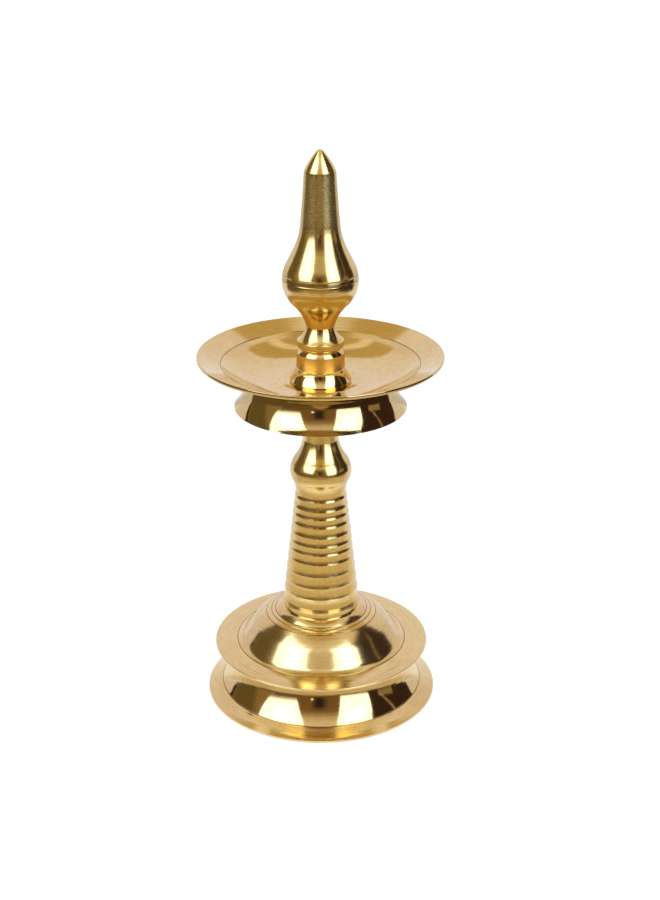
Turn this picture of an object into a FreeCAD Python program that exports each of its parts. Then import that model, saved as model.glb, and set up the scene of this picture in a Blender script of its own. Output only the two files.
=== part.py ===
import FreeCAD, Part
import math
import os
import Sketcher

# Brass standing oil lamp (samai), millimetres, +Z up.
# The origin is the centre of the circle that the foot stands on.
#
# The lamp is a stack of turned castings on one axis. From the floor up:
#   base_lower_tier, base_upper_tier, stem, dish_skirt, oil_dish, collar, finial.
# Threaded studs hold the stack together. The stem's lower stud passes through both
# tiers and takes a washer and a nut inside the foot. The stem's upper stud passes
# through the skirt and the dish into the collar, and a short stud joins the collar
# and the finial.
#
# Each casting is turned about its own Z axis from one closed outline. Its outline is
# a list of stations (name, radius, height, bulge): the bulge is how far the stretch
# to the next station stands out from a straight line, to the right of the direction
# of travel, or to the left where it is negative. Heights start at the casting's own
# lowest face. A number makes a cell in the sheet, and a word names a cell that
# several pieces share.

doc = FreeCAD.newDocument("samai")
sheet = doc.addObject("Spreadsheet::Sheet", "Sizes")
cells = {}


def add_size(alias, value):
    """Write one driving dimension to the next row of the sheet."""
    row = len(cells) + 1
    sheet.set("A%d" % row, "'" + alias.replace("_", " "))
    sheet.set("B%d" % row, "%.4g" % value)
    sheet.setAlias("B%d" % row, alias)
    cells[alias] = float("%.4g" % value)
    return alias


def cell_for(alias, value):
    """Name of the cell that holds a station's value."""
    if isinstance(value, str):
        return value
    return add_size(alias, value)


def sized(*aliases):
    """Sum of cells, as an expression."""
    return " + ".join("Sizes." + alias for alias in aliases)


# ---- shared driving dimensions ------------------------------------------------------

# Studs and nut: M8 coarse. A hole that takes a thread is plain and clears its crests.
add_size("stud_radius", 4.0)
add_size("thread_pitch", 1.25)
add_size("thread_depth", 0.6)
add_size("thread_crest", 0.2)
add_size("stud_chamfer", 0.7)
add_size("threaded_hole_radius", 4.05)
add_size("passing_hole_radius", 4.4)

# Heights of the stack.
add_size("lower_tier_height", 22.8)
add_size("upper_tier_height", 19.8)
add_size("stem_height", 106.6)
add_size("skirt_seat_depth", 8.3)
add_size("skirt_web", 2.0)
add_size("dish_seat_height", 1.0)
add_size("collar_height", 15.5)

# How far each stud stands in the piece that carries it, and the studs' lengths.
add_size("base_stud_length", 54.6)
add_size("base_stud_in_stem", 20.0)
add_size("stem_stud_length", 29.2)
add_size("stem_stud_in_stem", 18.0)
add_size("finial_stud_length", 15.4)
add_size("finial_stud_in_finial", 9.0)

# Fasteners inside the foot.
add_size("washer_radius", 11.0)
add_size("washer_thickness", 1.5)
add_size("nut_across_flats", 13.0)
add_size("nut_height", 6.5)

# Height of the foot's inner roof: the washer bears on it.
add_size("foot_roof", 19.3)


# ---- outlines -----------------------------------------------------------------------

LOWER_TIER = [
    ("floor_edge", 53.0, 0, 0),
    ("rim", 53.0, 0.9, -0.12),
    ("shoulder_line", 46.4, 4.2, -1.48),
    ("flare_top", 38.9, 20.5, 0),
    ("seat_edge", 38.6, "lower_tier_height", 0),
    ("hole_top", "passing_hole_radius", "lower_tier_height", 0),
    ("hole_bottom", "passing_hole_radius", "foot_roof", 0),
    ("roof_edge", 35.0, "foot_roof", -0.6),
    ("wall_top", 37.1, 17.2, 1.1),
    ("wall_foot", 44.4, 2.8, 0.3),
    ("floor_inner", 49.6, 0, 0),
]

UPPER_TIER = [
    ("seat_inner", 36.2, 0, 0),
    ("seat_outer", 38.4, 0, 0),
    ("flange_under", 48.9, 1.1, 0.08),
    ("flange_edge", 49.2, 1.4, 0),
    ("flange_bevel", 49.2, 1.9, 0.08),
    ("flange_top", 48.9, 2.1, 0),
    ("flange_ridge", 44.9, 2.45, 0),
    ("crease", 39.0, 2.65, -0.33),
    ("cone_foot", 35.8, 4.9, 0),
    ("cone_knee", 32.2, 9.75, 0.06),
    ("cone_shoulder", 30.4, 11.95, 0.14),
    ("cone_top", 25.4, 16.1, 0.12),
    ("bead_one", 23.0, 16.9, 0.1),
    ("bead_two", 21.2, 17.6, 0.15),
    ("plateau_edge", 18.3, "upper_tier_height", 0),
    ("hole_top", "passing_hole_radius", "upper_tier_height", 0),
    ("hole_bottom", "passing_hole_radius", 16.4, 0),
    ("roof_edge", 14.0, 16.4, -0.3),
    ("wall_top", 23.8, 13.6, 0),
]

# Ridges that the turner left round the stem, from its foot up, with the hollow bands
# between them. The gaps are uneven because they were set by eye.
RING_GAPS = [4.5, 5.0, 5.3, 5.5, 5.7, 4.5, 3.8, 4.3, 4.7, 4.0, 3.7, 4.5]
RING_TAPER = 0.108
RING_FOOT_RADIUS = 17.0
RING_TOP_RADIUS = 11.8
RING_HOLLOW = 0.23


def stem_rings():
    """Stations of the ringed stretch of the stem, from its foot up."""
    top = sum(RING_GAPS)
    height = 0.0
    rings = []
    for number, gap in enumerate(RING_GAPS + [0.0]):
        radius = min(RING_FOOT_RADIUS, RING_TOP_RADIUS + RING_TAPER * (top - height))
        rings.append(("ring_%d" % number, radius, height, -RING_HOLLOW))
        height += gap
    return rings


STEM = stem_rings() + [
    ("bulb_neck", 11.45, 58.9, -0.2),
    ("bulb_lower", 12.6, 63.0, 0.3),
    ("bulb", 13.8, 67.4, 0.6),
    ("bulb_upper", 11.5, 73.9, -0.5),
    ("neck_foot", 8.0, 82.4, -0.35),
    ("neck_top", 8.3, 98.4, -0.8),
    ("seat_edge", 11.5, "stem_height", 0),
    ("top_hole", "threaded_hole_radius", "stem_height", 0),
    ("top_hole_floor", "threaded_hole_radius", 88.0, 0),
    ("top_drill_point", 0, 85.7, 0),
    ("foot_drill_point", 0, 23.2, 0),
    ("foot_hole_roof", "threaded_hole_radius", 20.9, 0),
    ("foot_hole", "threaded_hole_radius", 0, 0),
]

# The skirt hangs from a web that is dished to take the underside of the oil dish.
SKIRT = [
    ("rim", 38.1, 0, -1.12),
    ("lip_outer", 32.7, 12.1, 0),
    ("lip_inner", 31.6, 11.6, -0.5),
    ("web_top", 23.5, 10.3, 0),
    ("hole_top", "passing_hole_radius", 10.3, 0),
    ("hole_bottom", "passing_hole_radius", "skirt_seat_depth", 0),
    ("web_under", 22.0, "skirt_seat_depth", 0.25),
    ("web_edge", 29.8, 9.3, -0.4),
    ("wall_top", 32.1, 7.6, 0.6),
    ("wall_foot", 37.2, 0, 0),
]

DISH = [
    ("hole_bottom", "passing_hole_radius", 0, 0),
    ("floor_under", 22.0, 0, 1.8),
    ("cove_under", 44.3, 8.1, 0),
    ("flange_under", 53.6, 11.7, 0.08),
    ("rim_under", 54.0, 12.2, 0.1),
    ("rim", 54.0, 13.2, 0.08),
    ("flange_inner", 53.5, 13.4, 0),
    ("crease", 43.7, 9.6, -1.85),
    ("floor_edge", 22.0, 1.6, 0),
    ("recess_edge", 17.6, 1.6, 0),
    ("collar_seat", 14.8, "dish_seat_height", 0),
    ("hole_top", "passing_hole_radius", "dish_seat_height", 0),
]

COLLAR = [
    ("seat_edge", 12.8, 0, 0),
    ("rim_under", 13.4, 0.9, 0),
    ("rim", 13.6, 1.1, -0.46),
    ("flare_top", 10.95, 6.7, 0),
    ("body_foot", 10.65, 6.9, 0),
    ("body_top", 10.45, 13.3, 0.15),
    ("top_edge", 8.75, "collar_height", 0),
    ("hole_top", "threaded_hole_radius", "collar_height", 0),
    ("hole_bottom", "threaded_hole_radius", 0, 0),
]

FINIAL = [
    ("seat_edge", 8.2, 0, 0),
    ("undercut", 8.2, 0.7, 0),
    ("foot_under", 10.0, 0.7, 0.08),
    ("foot_rim", 10.2, 1.0, 0),
    ("foot_top", 10.2, 3.4, 0.06),
    ("foot_shoulder", 9.9, 3.7, -0.6),
    ("neck", 6.2, 9.8, -0.85),
    ("bulb_lower", 12.1, 19.8, 1.15),
    ("bulb", 16.5, 30.3, 0.48),
    ("bulb_upper", 14.6, 37.8, 0),
    ("shoulder", 11.6, 43.8, -0.52),
    ("shaft_foot", 8.55, 54.3, -0.1),
    ("point_base", 6.8, 77.4, 0.42),
    ("point", 1.3, 85.9, 0),
    ("point_bevel", 0.6, 86.3, 0),
    ("tip", 0, 86.3, 0),
    ("drill_point", 0, 11.2, 0),
    ("hole_roof", "threaded_hole_radius", 9.3, 0),
    ("hole_mouth", "threaded_hole_radius", 0, 0),
]

WASHER = [
    ("under_outer", "washer_radius", 0, 0),
    ("top_outer", "washer_radius", "washer_thickness", 0),
    ("top_inner", "passing_hole_radius", "washer_thickness", 0),
    ("under_inner", "passing_hole_radius", 0, 0),
]

# Fine lines that the turner cut with the tool's corner: (name, radius, height, lean,
# half_width, depth). The lean is the angle in degrees from the horizontal to the
# surface's outward normal.
LOWER_TIER_LINES = [("shoulder_cut", 46.4, 4.2, 55, 0.2, 0.2)]
UPPER_TIER_LINES = [
    ("flange_cut", 44.9, 2.45, 87, 0.1, 0.06),
    ("crease_cut", 39.0, 2.65, 76, 0.16, 0.2),
    ("cone_cut", 25.4, 16.1, 60, 0.12, 0.1),
    ("bead_cut_low", 23.0, 16.9, 68, 0.12, 0.1),
    ("bead_cut_high", 21.2, 17.6, 62, 0.12, 0.1),
]
DISH_LINES = [("cove_cut", 43.7, 9.6, 120, 0.12, 0.15)]
FINIAL_LINES = [
    ("bulb_cut_low", 16.46, 31.3, 5, 0.35, 0.25),
    ("bulb_cut_high", 16.17, 33.5, 13, 0.35, 0.25),
]


# ---- building functions -------------------------------------------------------------

def origin_plane(body, role):
    """One of the body's own origin planes."""
    for feature in body.Origin.OriginFeatures:
        if feature.Role == role:
            return feature
    raise ValueError(role)


def pin_point(sketch, geometry, end, radius_cell, height_cell):
    """Hold one end of an edge at a radius and a height that cells give."""
    pins = (("DistanceX", radius_cell, -2), ("DistanceY", height_cell, -1))
    for kind, cell, axis in pins:
        if cells.get(cell, 0.0) == 0.0:
            sketch.addConstraint(Sketcher.Constraint("PointOnObject", geometry, end, axis))
        else:
            pin = Sketcher.Constraint(kind, -1, 1, geometry, end, cells[cell])
            index = sketch.addConstraint(pin)
            sketch.setExpression("Constraints[%d]" % index, sized(cell))


def add_arc(sketch, start, end, bulge_cell, between):
    """Arc from start to end. Returns its index and the numbers of its two ends."""
    bulge = cells[bulge_cell]
    chord = end - start
    radius = chord.Length ** 2 / (8 * abs(bulge)) + abs(bulge) / 2
    side = FreeCAD.Vector(chord.y, -chord.x, 0).normalize() * math.copysign(1, bulge)
    centre = (start + end) * 0.5 + side * (abs(bulge) - radius)
    first, last = (start, end) if bulge > 0 else (end, start)
    angles = [math.atan2(p.y - centre.y, p.x - centre.x) for p in (first, last)]
    circle = Part.Circle(centre, FreeCAD.Vector(0, 0, 1), radius)
    arc = sketch.addGeometry(Part.ArcOfCircle(circle, angles[0], angles[1]), False)
    index = sketch.addConstraint(Sketcher.Constraint("Radius", arc, radius))
    squares = " + ".join("(Sizes.%s - Sizes.%s)^2" % pair for pair in between)
    height = "abs(Sizes.%s)" % bulge_cell
    sketch.setExpression(
        "Constraints[%d]" % index, "(%s)/(8*%s) + %s/2" % (squares, height, height)
    )
    return (arc, 1, 2) if bulge > 0 else (arc, 2, 1)


def outline_sketch(body, name, stations):
    """Closed outline in the body's XZ plane, every corner bound to the sheet."""
    corners = []
    for station, radius, height, bulge in stations:
        stem = "%s_%s" % (name, station)
        corners.append((
            cell_for(stem + "_radius", radius),
            cell_for(stem + "_height", height),
            cell_for(stem + "_bulge", bulge) if bulge else None,
        ))
    sketch = body.newObject("Sketcher::SketchObject", name + "_outline")
    sketch.AttachmentSupport = (origin_plane(body, "XZ_Plane"), [""])
    sketch.MapMode = "FlatFace"
    edges = []
    for number, corner in enumerate(corners):
        following = corners[(number + 1) % len(corners)]
        start = FreeCAD.Vector(cells[corner[0]], cells[corner[1]], 0)
        end = FreeCAD.Vector(cells[following[0]], cells[following[1]], 0)
        if corner[2]:
            between = [(corner[0], following[0]), (corner[1], following[1])]
            edges.append(add_arc(sketch, start, end, corner[2], between))
        else:
            edges.append((sketch.addGeometry(Part.LineSegment(start, end), False), 1, 2))
    for number, (geometry, _, end) in enumerate(edges):
        following = edges[(number + 1) % len(edges)]
        sketch.addConstraint(
            Sketcher.Constraint("Coincident", geometry, end, following[0], following[1])
        )
    for (geometry, start, _), corner in zip(edges, corners):
        pin_point(sketch, geometry, start, corner[0], corner[1])
    return sketch


def new_body(name, seat):
    """Empty body whose seat height is a sum of cells."""
    body = doc.addObject("PartDesign::Body", name)
    body.Label = name
    if seat:
        body.setExpression("Placement.Base.z", seat)
    return body


def turn(body, name, stations):
    """Solid of revolution of an outline about the body's Z axis."""
    sketch = outline_sketch(body, name, stations)
    solid = body.newObject("PartDesign::Revolution", name + "_turned")
    solid.Profile = (sketch, [""])
    solid.ReferenceAxis = (sketch, ["V_Axis"])
    solid.Angle = 360
    doc.recompute()
    return solid


def turn_away(body, name, stations):
    """Groove of an outline about the body's Z axis; stops if it cuts nothing."""
    before = body.Shape.Volume
    sketch = outline_sketch(body, name, stations)
    groove = body.newObject("PartDesign::Groove", name + "_groove")
    groove.Profile = (sketch, [""])
    groove.ReferenceAxis = (sketch, ["V_Axis"])
    groove.Angle = 360
    doc.recompute()
    if body.Shape.Volume >= before:
        raise ValueError(name + " cut nothing")
    return groove


def cut_line(body, name, radius, height, lean, half_width, depth):
    """Fine V cut square to the surface, with a mouth that reaches past it."""
    across = 2 * half_width
    out_r = math.cos(math.radians(lean))
    out_z = math.sin(math.radians(lean))
    mouth_r = radius + depth * out_r
    mouth_z = height + depth * out_z
    turn_away(body, name, [
        ("bottom", radius - depth * out_r, height - depth * out_z, 0),
        ("mouth_low", mouth_r + across * out_z, mouth_z - across * out_r, 0),
        ("mouth_high", mouth_r - across * out_z, mouth_z + across * out_r, 0),
    ])


def casting(name, stations, seat, lines=()):
    """One turned piece, with its fine cut lines."""
    body = new_body(name, seat)
    turn(body, name, stations)
    for line, *shape in lines:
        cut_line(body, name + "_" + line, *shape)
    return body


def stud(name, length_cell, seat):
    """Threaded rod: chamfered ends, and a ring groove for each turn of the thread."""
    radius = cells["stud_radius"]
    chamfer = cells["stud_chamfer"]
    length = cells[length_cell]
    pitch = cells["thread_pitch"]
    depth = cells["thread_depth"]
    half_mouth = (pitch - cells["thread_crest"]) / 2
    body = new_body(name, seat)
    turn(body, name, [
        ("foot_edge", radius - chamfer, 0, 0),
        ("foot_chamfer", "stud_radius", chamfer, 0),
        ("head_chamfer", "stud_radius", length - chamfer, 0),
        ("head_edge", radius - chamfer, length_cell, 0),
        ("head_centre", 0, length_cell, 0),
        ("foot_centre", 0, 0, 0),
    ])
    start = chamfer + pitch
    margin = 0.1
    reach = half_mouth * margin / depth
    thread = turn_away(body, name + "_thread", [
        ("root", radius - depth, start, 0),
        ("mouth_low", radius + margin, start - half_mouth - reach, 0),
        ("mouth_high", radius + margin, start + half_mouth + reach, 0),
    ])
    turns = int((length - 2 * start) / pitch) + 1
    pattern = body.newObject("PartDesign::LinearPattern", name + "_turns")
    pattern.Originals = [thread]
    pattern.Direction = (thread.Profile[0], ["V_Axis"])
    pattern.Mode = "Spacing"
    pattern.setExpression("Offset", sized("thread_pitch"))
    pattern.Occurrences = turns
    body.Tip = pattern
    doc.recompute()
    return body


def hexagon_nut(name, seat):
    """Hexagon nut: prism, plain bore and a turned chamfer at both faces."""
    body = new_body(name, seat)
    prism = body.newObject("PartDesign::AdditivePrism", name + "_prism")
    prism.Polygon = 6
    prism.setExpression("Circumradius", "Sizes.nut_across_flats / 2 / cos(30 deg)")
    prism.setExpression("Height", sized("nut_height"))
    doc.recompute()
    bore = body.newObject("PartDesign::SubtractiveCylinder", name + "_bore")
    bore.setExpression("Radius", sized("threaded_hole_radius"))
    bore.setExpression("Height", sized("nut_height"))
    doc.recompute()
    flat = cells["nut_across_flats"] / 2
    corner = flat / math.cos(math.radians(30)) + 0.2
    fall = (corner - flat) * math.tan(math.radians(30))
    top = cells["nut_height"]
    turn_away(body, name + "_top_chamfer", [
        ("face", flat, top + 0.01, 0),
        ("side", corner, top - fall, 0),
        ("outside", corner, top + 0.01, 0),
    ])
    turn_away(body, name + "_foot_chamfer", [
        ("face", flat, 0, 0),
        ("outside", corner, 0, 0),
        ("side", corner, fall, 0),
    ])
    return body


# ---- the lamp -----------------------------------------------------------------------

STEM_SEAT = ("lower_tier_height", "upper_tier_height")
SKIRT_SEAT = STEM_SEAT + ("stem_height",)
DISH_SEAT = SKIRT_SEAT + ("skirt_web",)
COLLAR_SEAT = DISH_SEAT + ("dish_seat_height",)
FINIAL_SEAT = COLLAR_SEAT + ("collar_height",)

casting("base_lower_tier", LOWER_TIER, None, LOWER_TIER_LINES)
casting("base_upper_tier", UPPER_TIER, sized("lower_tier_height"), UPPER_TIER_LINES)
casting("stem", STEM, sized(*STEM_SEAT))
casting("dish_skirt", SKIRT, sized(*SKIRT_SEAT) + " - Sizes.skirt_seat_depth")
casting("oil_dish", DISH, sized(*DISH_SEAT), DISH_LINES)
casting("collar", COLLAR, sized(*COLLAR_SEAT))
casting("finial", FINIAL, sized(*FINIAL_SEAT), FINIAL_LINES)

stud(
    "base_stud", "base_stud_length",
    sized(*STEM_SEAT, "base_stud_in_stem") + " - Sizes.base_stud_length",
)
stud("stem_top_stud", "stem_stud_length", sized(*SKIRT_SEAT) + " - Sizes.stem_stud_in_stem")
stud(
    "finial_stud", "finial_stud_length",
    sized(*FINIAL_SEAT, "finial_stud_in_finial") + " - Sizes.finial_stud_length",
)

WASHER_SEAT = sized("foot_roof") + " - Sizes.washer_thickness"
casting("base_washer", WASHER, WASHER_SEAT)
hexagon_nut("base_nut", WASHER_SEAT + " - Sizes.nut_height")

doc.recompute()


# ---- checks and files ---------------------------------------------------------------

for item in doc.Objects:
    if "Invalid" in item.State or "Error" in item.State:
        raise ValueError("%s failed: %s" % (item.Label, item.State))

bodies = [item for item in doc.Objects if item.TypeId == "PartDesign::Body"]
for body in bodies:
    if body.Shape.isNull() or not body.Shape.isValid() or len(body.Shape.Solids) != 1:
        raise ValueError("%s has no sound solid" % body.Label)

os.makedirs("parts", exist_ok=True)
for body in bodies:
    body.Shape.exportStep("parts/%s.step" % body.Label)
    box = body.Shape.optimalBoundingBox(False)
    print("%-16s z %7.2f to %7.2f, radius %5.2f, %8.0f mm3" % (
        body.Label, box.ZMin, box.ZMax, box.XMax, body.Shape.Volume
    ))
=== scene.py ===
import math

import bpy
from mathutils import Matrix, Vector


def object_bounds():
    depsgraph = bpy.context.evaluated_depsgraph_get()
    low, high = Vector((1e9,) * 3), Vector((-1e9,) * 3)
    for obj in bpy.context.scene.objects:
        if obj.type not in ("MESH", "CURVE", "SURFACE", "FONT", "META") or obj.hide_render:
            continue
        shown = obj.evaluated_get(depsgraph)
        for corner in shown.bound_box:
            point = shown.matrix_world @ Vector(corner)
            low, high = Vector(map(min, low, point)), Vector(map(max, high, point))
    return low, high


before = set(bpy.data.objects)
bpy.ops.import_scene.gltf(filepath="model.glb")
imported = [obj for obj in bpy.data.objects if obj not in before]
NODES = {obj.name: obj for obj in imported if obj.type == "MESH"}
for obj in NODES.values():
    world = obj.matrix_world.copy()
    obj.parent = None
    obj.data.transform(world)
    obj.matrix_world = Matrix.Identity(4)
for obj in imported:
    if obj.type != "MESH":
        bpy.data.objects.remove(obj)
CAD_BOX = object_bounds()

# The share of red, green and blue that each metal reflects. The brass is paler in some
# places. The orange is a painted reflection: a redder tint for the light that the dish throws
# onto the finial's neck and the collar's band.
BRASS = (0.91, 0.77, 0.42)
PAINTED_BOUNCE_ORANGE = (0.86, 0.54, 0.16)
YELLOW = (0.94, 0.79, 0.38)
ZINC = (0.62, 0.62, 0.60)
GROOVE_SHADE = (0.20, 0.11, 0.035)
PIT = (0.10, 0.06, 0.03)

# Cut lines and seams darkened with painted shade: metres from the lamp's axis, or metres above its
# foot.
FOOT_LINE_RADII = (0.0464,)
DISH_LINE_RADII = (0.0437,)
CONE_LINE_RADII = (0.0390, 0.0254, 0.0230, 0.0212)
BULB_LINE_HEIGHTS = (0.1990, 0.2012)
STEM_SEAM_HEIGHTS = (0.0429,)

# Bands with their own roughness or tint: from and to, in metres above the lamp's foot. The
# orange tint on the collar band and the finial neck is a painted reflection of the dish's light.
COLLAR_BAND = (0.1592, 0.1656)
FINIAL_NECK = (0.1768, 0.1870)
FINIAL_SHAFT = (0.2215, 0.2455)

# The camera stands in front of the lamp and looks down at it.
EYE = (0.0, -0.659, 0.3925)
LOOKS_DOWN_DEG = 22.53
TURNED_DEG = -0.36
LENS_MM = 63.85
SENSOR_MM = 36.0

FLOOR_HALF_SIDE = 6.0


# ---------------------------------------------------------------- node helpers

def feed(tree, socket, value):
    """Links value to socket if it is an output, and else sets it there."""
    if isinstance(value, bpy.types.NodeSocket):
        tree.links.new(value, socket)
    else:
        socket.default_value = value


def maths(tree, operation, *values):
    node = tree.nodes.new("ShaderNodeMath")
    node.operation = operation
    for socket, value in zip(node.inputs, values):
        feed(tree, socket, value)
    return node.outputs[0]


def product(tree, first, second):
    return maths(tree, "MULTIPLY", first, second)


def rise(tree, value, start, end, low=0.0, high=1.0):
    """low before start, high after end, and smooth between them."""
    node = tree.nodes.new("ShaderNodeMapRange")
    node.interpolation_type = "SMOOTHSTEP"
    for name, number in zip(("From Min", "From Max", "To Min", "To Max"), (start, end, low, high)):
        feed(tree, node.inputs[name], number)
    feed(tree, node.inputs["Value"], value)
    return node.outputs["Result"]


def mix(tree, share, first, second, kind="MIX"):
    node = tree.nodes.new("ShaderNodeMix")
    node.data_type = "RGBA"
    node.blend_type = kind
    feed(tree, node.inputs["Factor"], share)
    for name, colour in (("A", first), ("B", second)):
        socket = next(s for s in node.inputs if s.name == name and s.type == "RGBA")
        feed(tree, socket, colour if isinstance(colour, bpy.types.NodeSocket) else (*colour, 1.0))
    return next(s for s in node.outputs if s.type == "RGBA")


def darker(tree, colour, shares):
    """colour with its red, green and blue cut down to these shares."""
    return mix(tree, 1.0, colour, shares, "MULTIPLY")


def by_elevation(tree, elevation, stops):
    """Colours from straight down to straight up: stops are (elevation, colour)."""
    height = tree.nodes.new("ShaderNodeMapRange")
    height.inputs["From Min"].default_value = -90
    height.inputs["From Max"].default_value = 90
    feed(tree, height.inputs["Value"], elevation)
    node = tree.nodes.new("ShaderNodeValToRGB")
    elements = node.color_ramp.elements
    while len(elements) < len(stops):
        elements.new(0.5)
    for element, (degrees, colour) in zip(elements, stops):
        element.position = (degrees + 90) / 180
        element.color = (*colour, 1.0)
    feed(tree, node.inputs["Fac"], height.outputs["Result"])
    return node.outputs["Color"]


def split(tree, vector):
    node = tree.nodes.new("ShaderNodeSeparateXYZ")
    feed(tree, node.inputs[0], vector)
    return node.outputs


def join(tree, x, y, z):
    node = tree.nodes.new("ShaderNodeCombineXYZ")
    for socket, value in zip(node.inputs, (x, y, z)):
        feed(tree, socket, value)
    return node.outputs[0]


def from_axis(tree, x, y):
    """Distance from the lamp's axis."""
    squares = maths(tree, "ADD", product(tree, x, x), product(tree, y, y))
    return maths(tree, "SQRT", squares)


def noise(tree, vector, scale, detail, roughness=0.5):
    node = tree.nodes.new("ShaderNodeTexNoise")
    feed(tree, node.inputs["Vector"], vector)
    node.inputs["Scale"].default_value = scale
    node.inputs["Detail"].default_value = detail
    node.inputs["Roughness"].default_value = roughness
    return node.outputs["Fac"]


def is_glossy(tree):
    """1 for a ray that the brass reflects, and 0 for what the camera and the paper see."""
    return tree.nodes.new("ShaderNodeLightPath").outputs["Is Glossy Ray"]


# ---------------------------------------------------------------- the studio

def patch(tree, under, azimuth, elevation, left, right, low, high, soft, tint):
    """Lays tint over the colour under between two leaning sides and two level ends. A side is
    (azimuth at the horizon, azimuth per degree up), and an end is (elevation, softness)."""
    def side(edge, start, end):
        line = maths(tree, "ADD", product(tree, elevation, edge[1]), edge[0])
        return rise(tree, maths(tree, "SUBTRACT", azimuth, line), -soft / 2, soft / 2, start, end)

    def end(edge, start, stop):
        return rise(tree, elevation, edge[0] - edge[1] / 2, edge[0] + edge[1] / 2, start, stop)

    across = product(tree, side(left, 0.0, 1.0), side(right, 1.0, 0.0))
    upward = product(tree, end(low, 0.0, 1.0), end(high, 1.0, 0.0))
    return mix(tree, product(tree, across, upward), under, tint)


def studio_walls(tree, azimuth, elevation):
    """The room round the lamp: darker in front, with a bright sweep of paper behind."""
    away = maths(tree, "ABSOLUTE", azimuth)
    front = by_elevation(tree, elevation, (
        (-12, (0.12, 0.07, 0.025)), (0, (0.16, 0.09, 0.03)), (22, (0.19, 0.10, 0.03)),
        (29, (0.24, 0.145, 0.06)), (35, (0.44, 0.31, 0.17)), (41, (0.61, 0.47, 0.30)),
        (47, (0.72, 0.58, 0.42)), (60, (0.76, 0.62, 0.46)), (80, (0.62, 0.46, 0.26))))
    side = by_elevation(tree, elevation, (
        (-12, (0.20, 0.14, 0.08)), (0, (0.10, 0.06, 0.03)), (46, (0.30, 0.20, 0.10)),
        (56, (0.78, 0.62, 0.45)), (80, (0.70, 0.54, 0.34))))
    flank = by_elevation(tree, elevation, (
        (-60, (0.55, 0.42, 0.30)), (-25, (0.62, 0.51, 0.42)), (0, (0.72, 0.62, 0.60)),
        (40, (0.74, 0.60, 0.54)), (75, (0.85, 0.72, 0.58))))
    sweep = by_elevation(tree, elevation, (
        (-60, (0.60, 0.45, 0.32)), (-30, (0.75, 0.70, 0.72)), (-10, (0.98, 0.98, 1.25)),
        (8, (0.84, 0.76, 0.82)), (38, (0.80, 0.67, 0.64)), (60, (0.85, 0.72, 0.58))))
    near_half = mix(tree, rise(tree, away, 52, 66), front, side)
    far_half = mix(tree, rise(tree, away, 140, 158), flank, sweep)

    # Over the sweep, a darker ceiling with one bright strip across it.
    ceiling = by_elevation(tree, elevation, (
        (42, (0.56, 0.37, 0.15)), (57, (0.54, 0.36, 0.14)), (60, (0.86, 0.72, 0.56)),
        (64, (0.84, 0.70, 0.52)), (67, (0.54, 0.36, 0.14))))
    spread = maths(tree, "ADD", away, product(tree, elevation, 0.9))
    above = product(tree, rise(tree, elevation, 41.5, 43.5), rise(tree, spread, 174, 180))
    far_half = mix(tree, above, far_half, ceiling)

    colour = mix(tree, rise(tree, away, 120, 122), near_half, far_half)
    return mix(tree, rise(tree, elevation, 68, 76), colour, (0.53, 0.36, 0.15))


def studio_world():
    """A white room to the camera, and a studio to the brass. Azimuth and elevation are in
    degrees, and azimuth is 0 in front of the lamp and grows to the right."""
    world = bpy.data.worlds.new("studio")
    bpy.context.scene.world = world
    world.use_nodes = True
    tree = world.node_tree
    tree.nodes.clear()
    x, y, z = split(tree, tree.nodes.new("ShaderNodeTexCoord").outputs["Generated"])
    azimuth = maths(tree, "DEGREES", maths(tree, "ARCTAN2", x, product(tree, y, -1.0)))
    elevation = maths(tree, "DEGREES", maths(tree, "ARCSINE", z))
    colour = studio_walls(tree, azimuth, elevation)

    white = (2.1, 2.1, 2.15)
    for left, right, low, high, soft, tint in (
            # The dark wall on the left, its darker part, and the black edge where it ends.
            ((-119, 0), (-58, -0.3), (-16, 6), (52, 6), 2.0, (0.25, 0.16, 0.06)),
            ((-119, 0), (-86, 0), (-16, 6), (48, 8), 12.0, (0.13, 0.085, 0.027)),
            ((-122.5, 0), (-118.5, 0), (2, 3), (52, 4), 1.0, (0.015, 0.008, 0.004)),
            # The dark wall on the right, with a lit ledge and a lit stand against it.
            ((56, 0.15), (121, 0), (-16, 6), (51, 5), 2.0, (0.035, 0.016, 0.008)),
            ((74, 0), (95, 0), (-8, 3), (9, 3), 1.5, (0.26, 0.18, 0.09)),
            ((70, 0.8), (73, 0.8), (4, 3), (42, 4), 1.5, (0.34, 0.24, 0.13)),
            # The dark gap in front, with a small light beside it.
            ((-10, 0), (5, 0), (0, 16), (23, 12), 11.0, (0.030, 0.014, 0.016)),
            ((-13, 0), (-10, 0), (4, 2), (7, 2), 1.0, (2.0, 1.7, 1.3)),
            # The two softboxes.
            ((-62, -0.52), (-31, 0.15), (9, 12), (59, 7), 2.0, white),
            ((24, -0.05), (59, 0.16), (1, 7), (59, 7), 2.0, white)):
        colour = patch(tree, colour, azimuth, elevation, left, right, low, high, soft, tint)

    background = tree.nodes.new("ShaderNodeBackground")
    feed(tree, background.inputs["Color"], mix(tree, is_glossy(tree), (1.0, 1.0, 1.0), colour))
    output = tree.nodes.new("ShaderNodeOutputWorld")
    tree.links.new(background.outputs[0], output.inputs[0])


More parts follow.
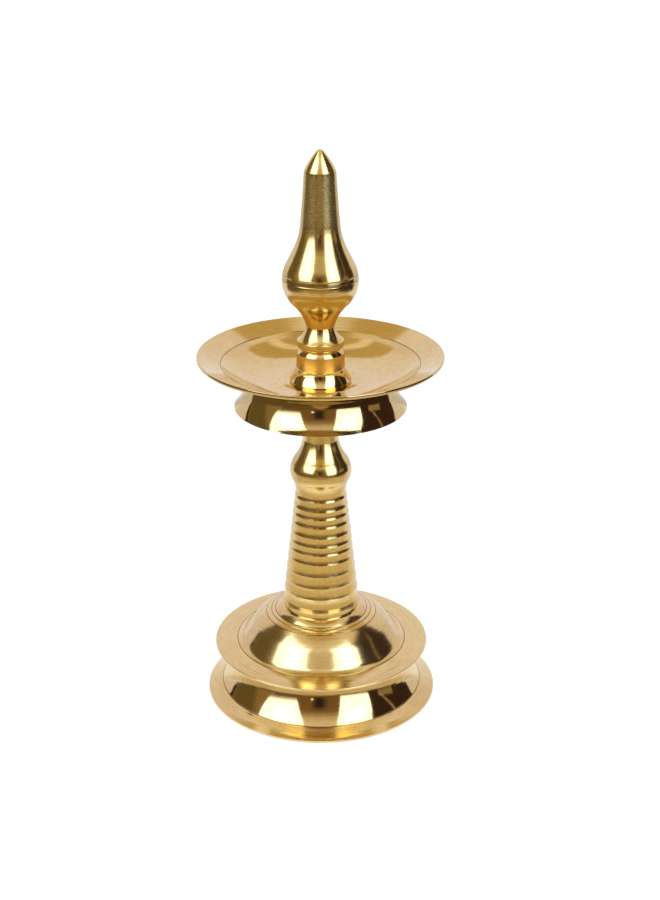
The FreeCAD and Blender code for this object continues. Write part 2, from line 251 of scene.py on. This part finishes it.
def softbox(name, azimuth_deg, elevation_deg, distance=1.2, width=0.42, height=0.75, watts=0.5):
    """A soft rectangular light aimed at the middle of the lamp, with its sizes in metres."""
    light = bpy.data.lights.new(name, "AREA")
    light.shape = "RECTANGLE"
    light.size = width
    light.size_y = height
    light.energy = watts
    azimuth = math.radians(azimuth_deg)
    elevation = math.radians(elevation_deg)
    level = math.cos(elevation)
    outward = Vector((math.sin(azimuth) * level, -math.cos(azimuth) * level, math.sin(elevation)))
    box = bpy.data.objects.new(name, light)
    box.location = (CAD_BOX[0] + CAD_BOX[1]) / 2 + distance * outward
    box.rotation_mode = "QUATERNION"
    box.rotation_quaternion = (-outward).to_track_quat("-Z", "Y")
    bpy.context.scene.collection.objects.link(box)


def painted_paper_glow(tree):
    """Painted light that the paper glows for the brass to reflect: brightest close round the lamp
    and behind it, and dark past its front edge and its sides."""
    x, y, _ = split(tree, tree.nodes.new("ShaderNodeTexCoord").outputs["Object"])
    aside = maths(tree, "ABSOLUTE", x)
    distance = from_axis(tree, x, y)
    paper = mix(tree, rise(tree, aside, 0.04, 0.20), (0.64, 0.46, 0.24), (0.62, 0.47, 0.29))
    paper = mix(tree, rise(tree, y, 0.0, 0.15), paper, (0.80, 0.74, 0.80))
    paper = mix(tree, rise(tree, distance, 0.07, 0.15, 1.0, 0.0), paper, (0.95, 0.86, 0.86))
    paper = mix(tree, rise(tree, distance, 0.5, 0.9), paper, (0.60, 0.55, 0.56))

    past_front = rise(tree, y, -0.46, -0.33, 1.0, 0.0)
    behind = maths(tree, "SUBTRACT", y, product(tree, aside, 0.55))
    not_behind = rise(tree, behind, -0.03, 0.03, 1.0, 0.0)
    past_side = product(tree, rise(tree, aside, 0.34, 0.46), not_behind)
    wall = mix(tree, rise(tree, x, -0.1, 0.1), (0.12, 0.075, 0.025), (0.035, 0.016, 0.008))
    dark = mix(tree, rise(tree, aside, 0.25, 0.40), (0.33, 0.215, 0.08), wall)
    return mix(tree, maths(tree, "MAXIMUM", past_front, past_side), paper, dark)


def pale_floor():
    """Paper that glows evenly white to the camera, and glows painted light of the studio's paper
    to the brass.
    """
    material = bpy.data.materials.new("pale_paper")
    material.use_nodes = True
    tree = material.node_tree
    shader = tree.nodes["Principled BSDF"]
    shader.inputs["Base Color"].default_value = (0.35, 0.35, 0.345, 1.0)
    shader.inputs["Roughness"].default_value = 0.9
    shader.inputs["Specular IOR Level"].default_value = 0.0
    shader.inputs["Emission Color"].default_value = (1.0, 1.0, 1.0, 1.0)
    shader.inputs["Emission Strength"].default_value = 0.74
    # To reflected rays the paper glows with painted light, though it is no lamp.
    reflected = tree.nodes.new("ShaderNodeEmission")
    feed(tree, reflected.inputs["Color"], painted_paper_glow(tree))
    choose = tree.nodes.new("ShaderNodeMixShader")
    feed(tree, choose.inputs[0], is_glossy(tree))
    tree.links.new(shader.outputs[0], choose.inputs[1])
    tree.links.new(reflected.outputs[0], choose.inputs[2])
    tree.links.new(choose.outputs[0], tree.nodes["Material Output"].inputs["Surface"])

    half = FLOOR_HALF_SIDE
    corners = [(-half, -half, 0), (half, -half, 0), (half, half, 0), (-half, half, 0)]
    mesh = bpy.data.meshes.new("floor")
    mesh.from_pydata(corners, [], [(0, 1, 2, 3)])
    mesh.materials.append(material)
    floor = bpy.data.objects.new("floor", mesh)
    bpy.context.scene.collection.objects.link(floor)
    floor.location.z = CAD_BOX[0].z


def camera():
    data = bpy.data.cameras.new("camera")
    data.sensor_width = SENSOR_MM
    data.lens = LENS_MM
    eye = bpy.data.objects.new("camera", data)
    eye.location = EYE
    eye.rotation_euler = (math.radians(90 - LOOKS_DOWN_DEG), 0.0, math.radians(TURNED_DEG))
    bpy.context.scene.collection.objects.link(eye)
    bpy.context.scene.camera = eye


# ---------------------------------------------------------------- metals

def ring_noise(tree, position, around, across, detail):
    """Noise drawn out along the lathe's rings: around features a radian, across a metre."""
    x, y, z, radius = position
    vector = join(tree, product(tree, maths(tree, "DIVIDE", x, radius), around),
                  product(tree, maths(tree, "DIVIDE", y, radius), around),
                  product(tree, radius, across))
    node = tree.nodes.new("ShaderNodeTexNoise")
    node.noise_dimensions = "4D"
    feed(tree, node.inputs["Vector"], vector)
    feed(tree, node.inputs["W"], product(tree, z, across))
    node.inputs["Scale"].default_value = 1.0
    node.inputs["Detail"].default_value = detail
    return node.outputs["Fac"]


def shade_cut_lines(tree, base, coordinate, places):
    """Painted shade in the cut lines that lie where coordinate is one of places."""
    for place in places:
        gap = maths(tree, "ABSOLUTE", maths(tree, "SUBTRACT", coordinate, place))
        base = mix(tree, rise(tree, gap, 0.0001, 0.0003, 0.55, 0.0), base, GROOVE_SHADE)
    return base


def turned_brass(name, tint, gloss, waves, chatter, zones=(), radii=(), heights=(), pits=0.0):
    """Brass as it leaves the lathe and the buff. gloss is the polish's roughness. waves,
    chatter and pits are the depths in metres of the unbroken rings, of the short ones and of
    the casting's pits. zones are (from, to, softness, gloss, tint): heights with a roughness
    and a tint of their own; an orange tint there is a painted reflection. radii and heights
    say where cut lines are darkened with painted shade."""
    material = bpy.data.materials.new(name)
    material.use_nodes = True
    tree = material.node_tree
    shader = tree.nodes["Principled BSDF"]
    here = tree.nodes.new("ShaderNodeTexCoord").outputs["Object"]
    x, y, z = split(tree, here)
    radius = maths(tree, "MAXIMUM", from_axis(tree, x, y), 1e-5)
    position = (x, y, z, radius)
    rings = ring_noise(tree, position, 0.8, 650.0, 3.0)
    streaks = ring_noise(tree, position, 9.0, 2600.0, 2.0)
    patches = noise(tree, here, 55.0, 3.0, 0.6)

    for start, end, soft, own_gloss, tone_and_painted_bounce in zones:
        inside = product(tree, rise(tree, z, start - soft, start + soft),
                         rise(tree, z, end - soft, end + soft, 1.0, 0.0))
        # On the collar band and the finial neck, this tint is a painted reflection of the dish's
        # light.
        tint = mix(tree, inside, tint, tone_and_painted_bounce)
        change = maths(tree, "SUBTRACT", own_gloss, gloss)
        gloss = maths(tree, "ADD", gloss, product(tree, inside, change))

    tarnish = rise(tree, patches, 0.42, 0.72, 0.0, 0.5)
    base = mix(tree, tarnish, tint, darker(tree, tint, (0.90, 0.84, 0.74)))
    streak = rise(tree, streaks, 0.35, 0.7, 0.0, 0.6)
    base = mix(tree, streak, base, darker(tree, base, (0.80, 0.77, 0.70)))
    # Painted shade in the cut lines, the creases and the stem's seam.
    base = shade_cut_lines(tree, base, radius, radii)
    base = shade_cut_lines(tree, base, z, heights)

    uneven = maths(tree, "ADD", 1.0, rise(tree, streaks, 0.3, 0.75, 0.0, 0.6))
    rough = maths(tree, "ADD", product(tree, gloss, uneven), product(tree, tarnish, 0.03))
    height = maths(tree, "ADD", product(tree, rings, waves), product(tree, streaks, chatter))
    if pits:
        cells = tree.nodes.new("ShaderNodeTexVoronoi")
        feed(tree, cells.inputs["Vector"], here)
        cells.inputs["Scale"].default_value = 260.0
        hole = rise(tree, cells.outputs["Distance"], 0.05, 0.16, 1.0, 0.0)
        hole = product(tree, hole, rise(tree, noise(tree, here, 120.0, 1.0), 0.60, 0.66))
        height = maths(tree, "SUBTRACT", height, product(tree, hole, pits))
        base = mix(tree, product(tree, hole, 0.85), base, PIT)

    bump = tree.nodes.new("ShaderNodeBump")
    bump.inputs["Strength"].default_value = 1.0
    bump.inputs["Distance"].default_value = 1.0
    feed(tree, bump.inputs["Height"], height)
    shader.inputs["Metallic"].default_value = 1.0
    feed(tree, shader.inputs["Base Color"], base)
    feed(tree, shader.inputs["Roughness"], rough)
    feed(tree, shader.inputs["Normal"], bump.outputs[0])
    return material


def clouded_steel(name, tint, gloss):
    """Plated steel, clouded darker and duller in patches."""
    material = bpy.data.materials.new(name)
    material.use_nodes = True
    tree = material.node_tree
    shader = tree.nodes["Principled BSDF"]
    here = tree.nodes.new("ShaderNodeTexCoord").outputs["Object"]
    cloud = noise(tree, here, 160.0, 3.0, 0.6)
    dull = tuple(share * 0.75 for share in tint)
    shader.inputs["Metallic"].default_value = 1.0
    feed(tree, shader.inputs["Base Color"], mix(tree, rise(tree, cloud, 0.35, 0.7), tint, dull))
    feed(tree, shader.inputs["Roughness"], rise(tree, cloud, 0.3, 0.75, gloss, gloss + 0.15))
    return material


def dress(material, *names):
    for name in names:
        for slot in NODES[name].material_slots:
            slot.link = "DATA"
            slot.material = material


camera()
studio_world()
softbox("softbox_left", -48, 34)
softbox("softbox_right", 42, 34)
pale_floor()

mirror = turned_brass("brass_mirror", BRASS, gloss=0.055, waves=2.6e-5, chatter=6e-6)
foot = turned_brass("brass_foot", BRASS, gloss=0.055, waves=2.6e-5, chatter=6e-6,
                    radii=FOOT_LINE_RADII)
bowl = turned_brass("brass_bowl", BRASS, gloss=0.07, waves=1.2e-5, chatter=4e-6,
                    radii=DISH_LINE_RADII)
cone = turned_brass("brass_cone", BRASS, gloss=0.12, waves=2.6e-5, chatter=1e-5,
                    radii=CONE_LINE_RADII)
# The finial's neck zone carries a painted reflection: an orange tint for the dish's light.
bulb = turned_brass("brass_bulb", YELLOW, gloss=0.13, waves=1.2e-5, chatter=5e-6,
                    heights=BULB_LINE_HEIGHTS,
                    zones=((*FINIAL_NECK, 0.001, 0.13, PAINTED_BOUNCE_ORANGE),
                           (*FINIAL_SHAFT, 0.004, 0.22, YELLOW)))
# The collar band carries a painted reflection: an orange tint for the dish's light.
band = turned_brass("brass_band", BRASS, gloss=0.07, waves=8e-6, chatter=3e-6,
                    zones=((*COLLAR_BAND, 0.0003, 0.30, PAINTED_BOUNCE_ORANGE),))
cast = turned_brass("brass_cast", YELLOW, gloss=0.13, waves=8e-6, chatter=1.6e-5,
                    heights=STEM_SEAM_HEIGHTS, pits=1.5e-4)
zinc = clouded_steel("zinc_steel", ZINC, gloss=0.35)

dress(mirror, "dish_skirt")
dress(foot, "base_lower_tier")
dress(bowl, "oil_dish")
dress(cone, "base_upper_tier")
dress(bulb, "finial", "finial_stud", "stem_top_stud")
dress(band, "collar")
dress(cast, "stem")
dress(zinc, "base_stud", "base_washer", "base_nut")

bpy.context.scene.view_settings.view_transform = "Standard"
